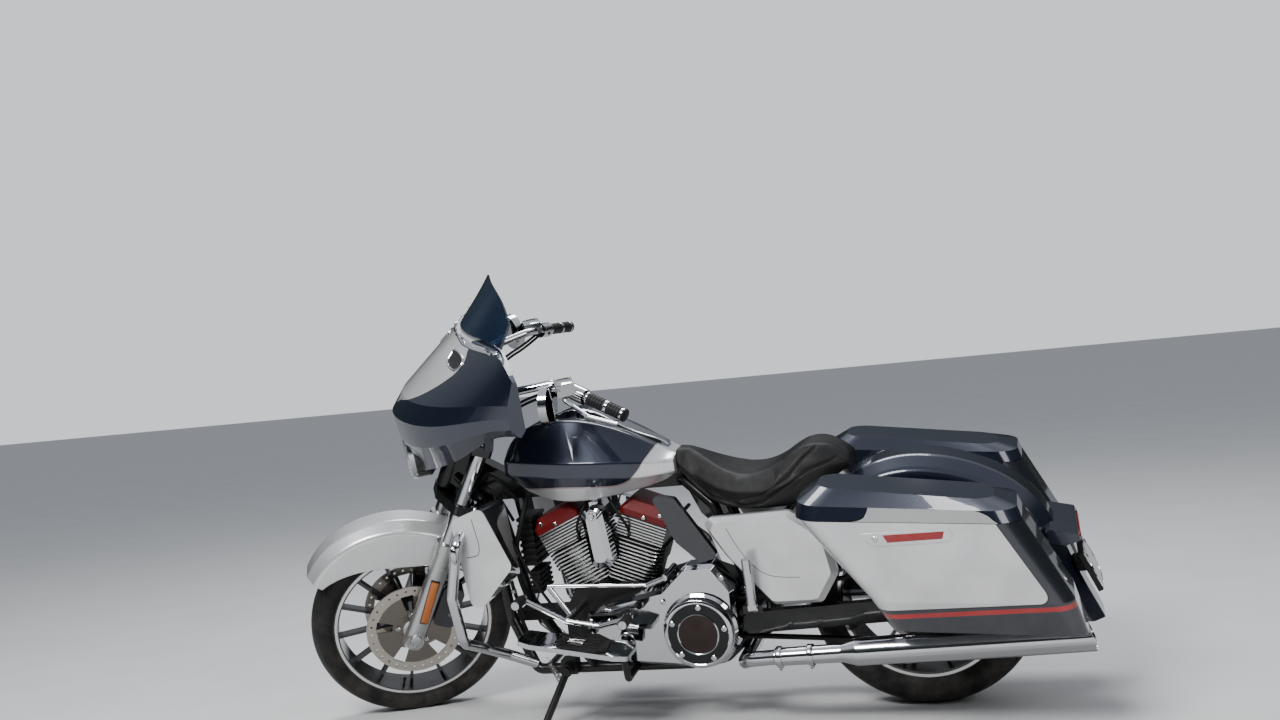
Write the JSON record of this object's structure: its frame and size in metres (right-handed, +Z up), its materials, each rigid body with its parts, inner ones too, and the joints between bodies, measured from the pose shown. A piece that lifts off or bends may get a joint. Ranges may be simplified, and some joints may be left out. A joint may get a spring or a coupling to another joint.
{
  "type": "touring cruiser motorcycle",
  "caption": "Fairing-fronted touring cruiser with a V-twin engine, hard saddlebags and floorboards, leaning on its side stand with the steering on its left stop.",
  "frame": {"origin": "middle of the outline on the ground, between the wheels", "axes": "+X forward, +Y to the rider's left, +Z up; the machine leans left"},
  "size_m": [2.4066, 0.9747, 1.3747],
  "materials": {
    "tyre": "matt rubber with a faint sheen",
    "wheel_black": "gloss black with machined edges",
    "disc_steel": "turned steel, heat tinted",
    "belt_rubber": "toothed belt",
    "satin_silver": "satin silver",
    "chrome": "polished chrome",
    "black_metal": "satin black",
    "silver_paint": "pearl silver metallic, clear coat",
    "caliper_metal": "cast, dark",
    "navy_paint": "dark blue metallic, clear coat",
    "bag_paint": "silver panel over charcoal",
    "lamp_glass": "clear lens",
    "inner_panel": "satin black panel",
    "screen_smoke": "dark smoked screen",
    "grip_rubber": "ribbed rubber",
    "frame_black": "gloss black tube",
    "engine_black": "wrinkle black",
    "red_paint": "red enamel",
    "derby_black": "gloss black centre, chrome ring",
    "exhaust_chrome": "chromed steel",
    "seat_leather": "black grained leather",
    "lamp_red": "deep red lens",
    "black_plastic": "moulded",
    "plate_white": "blank white plate",
    "board_rubber": "ribbed rubber in a chrome edge"
  },
  "bodies": {
    "chassis": {"drive_belt": "belt_rubber", "frame": "frame_black", "swingarm": "frame_black", "rear_shocks": "black_metal", "cylinders": "engine_black", "engine_cases": "engine_black", "rocker_covers": "red_paint", "cam_cover": "chrome", "air_cleaner": "chrome", "primary_cover": "chrome", "derby_cover": "derby_black", "horn_cover": "chrome", "mufflers": "exhaust_chrome", "exhaust_pipes": "exhaust_chrome", "fuel_tank": "navy_paint", "tank_console": "chrome", "rear_fender": "navy_paint", "seat": "seat_leather", "side_covers": "silver_paint", "air_deflectors": "black_metal", "saddlebag_left": "bag_paint", "saddlebag_right": "bag_paint", "tail_lamps": "lamp_red", "lamp_bar": "navy_paint", "plate_holder": "black_plastic", "number_plate_blank": "plate_white", "engine_guard": "chrome", "leg_shields": "silver_paint", "foot_controls": "chrome", "foot_brackets": "black_metal"},
    "front_end": {"fork_sliders": "satin_silver", "front_axle": "satin_silver", "fork_tubes": "chrome", "triple_clamps": "black_metal", "front_fender": "silver_paint", "front_calipers": "caliper_metal", "fairing_shell": "navy_paint", "headlamp": "lamp_glass", "inner_fairing": "inner_panel", "windscreen": "screen_smoke", "handlebar": "chrome", "grips": "grip_rubber", "hand_controls": "chrome", "mirrors": "chrome"},
    "front_wheel": {"front_tyre": "tyre", "front_wheel": "wheel_black", "front_discs": "disc_steel"},
    "rear_wheel": {"rear_tyre": "tyre", "rear_wheel": "wheel_black", "rear_drive": "disc_steel"},
    "side_stand": {"side_stand": "black_metal"},
    "bag_lid_left": {"bag_lid_left": "navy_paint"},
    "bag_lid_right": {"bag_lid_right": "navy_paint"},
    "fuel_door": {"fuel_door": "chrome"},
    "floorboard_left": {"floorboard_left": "board_rubber"},
    "floorboard_right": {"floorboard_right": "board_rubber"},
    "passenger_peg_left": {"passenger_peg_left": "chrome"},
    "passenger_peg_right": {"passenger_peg_right": "chrome"}
  },
  "joints": [
    {"name": "steering", "type": "hinge", "parent": "chassis", "child": "front_end", "pos_m": [0.67548, 0.04299, 0.80002], "axis": [-0.4306, 0.1256, 0.8938], "range_deg": [-60, 0]},
    {"name": "front_wheel_spin", "type": "hinge", "parent": "front_end", "child": "front_wheel", "pos_m": [0.90216, -0.03321, 0.30455], "axis": [-0.4513, 0.8276, -0.3337], "continuous": true},
    {"name": "rear_wheel_spin", "type": "hinge", "parent": "chassis", "child": "rear_wheel", "pos_m": [-0.72428, -0.02373, 0.3253], "axis": [0, 0.9903, -0.1392], "continuous": true},
    {"name": "side_stand", "type": "hinge", "parent": "chassis", "child": "side_stand", "pos_m": [0.32652, 0.1266, 0.15909], "axis": [0, 0.9903, -0.1392], "range_deg": [0, 96]},
    {"name": "bag_lid_left", "type": "hinge", "parent": "chassis", "child": "bag_lid_left", "pos_m": [-0.72146, 0.48917, 0.58331], "axis": [-0.9972, -0.0103, -0.0734], "range_deg": [0, 78]},
    {"name": "bag_lid_right", "type": "hinge", "parent": "chassis", "child": "bag_lid_right", "pos_m": [-0.72146, -0.44564, 0.71469], "axis": [0.9972, 0.0103, 0.0734], "range_deg": [0, 78]},
    {"name": "fuel_door", "type": "hinge", "parent": "chassis", "child": "fuel_door", "pos_m": [0.19528, 0.06123, 0.9298], "axis": [0, 0.9903, -0.1392], "range_deg": [0, 85]},
    {"name": "floorboard_left", "type": "hinge", "parent": "chassis", "child": "floorboard_left", "pos_m": [0.06533, 0.23492, 0.24006], "axis": [0.9851, 0.0239, 0.1704], "range_deg": [0, 38]},
    {"name": "floorboard_right", "type": "hinge", "parent": "chassis", "child": "floorboard_right", "pos_m": [0.06533, -0.29586, 0.31466], "axis": [-0.9851, -0.0239, -0.1704], "range_deg": [0, 38]},
    {"name": "passenger_peg_left", "type": "hinge", "parent": "chassis", "child": "passenger_peg_left", "pos_m": [-0.27492, 0.20571, 0.33398], "axis": [-1, 0.0012, 0.0085], "range_deg": [0, 82]},
    {"name": "passenger_peg_right", "type": "hinge", "parent": "chassis", "child": "passenger_peg_right", "pos_m": [-0.27492, -0.24189, 0.39688], "axis": [1, -0.0012, -0.0085], "range_deg": [0, 82]}
  ]
}
